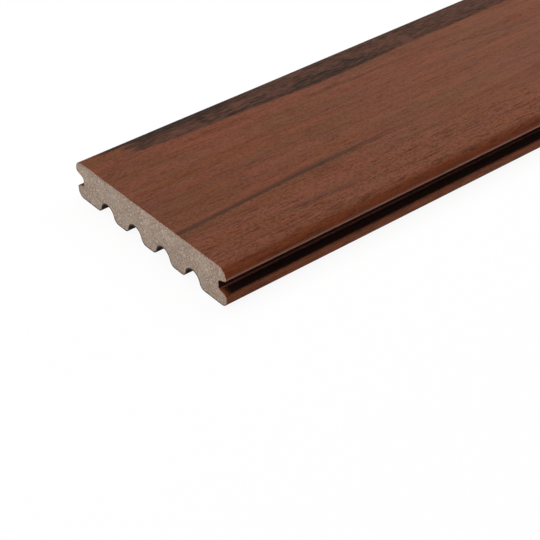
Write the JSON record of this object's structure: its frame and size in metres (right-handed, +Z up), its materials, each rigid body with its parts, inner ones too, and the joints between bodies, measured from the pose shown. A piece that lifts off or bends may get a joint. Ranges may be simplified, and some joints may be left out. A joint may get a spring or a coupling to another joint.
{
  "type": "decking board",
  "caption": "Long capped composite decking board with embossed wood grain, rounded edges, a clip groove along each edge and a scalloped underside.",
  "frame": {"origin": "middle of the length and width, on the plane of the underside", "axes": "+X along the board, +Y across it to the back edge, +Z up through its thickness"},
  "size_m": [2.438, 0.136, 0.024],
  "materials": {
    "composite_core": "saw-cut matte, speckled grey-tan",
    "polymer_cap": "satin, embossed wood grain, red-brown with darker streaks"
  },
  "bodies": {
    "root": {"core": "composite_core", "cap": "polymer_cap"}
  },
  "joints": []
}
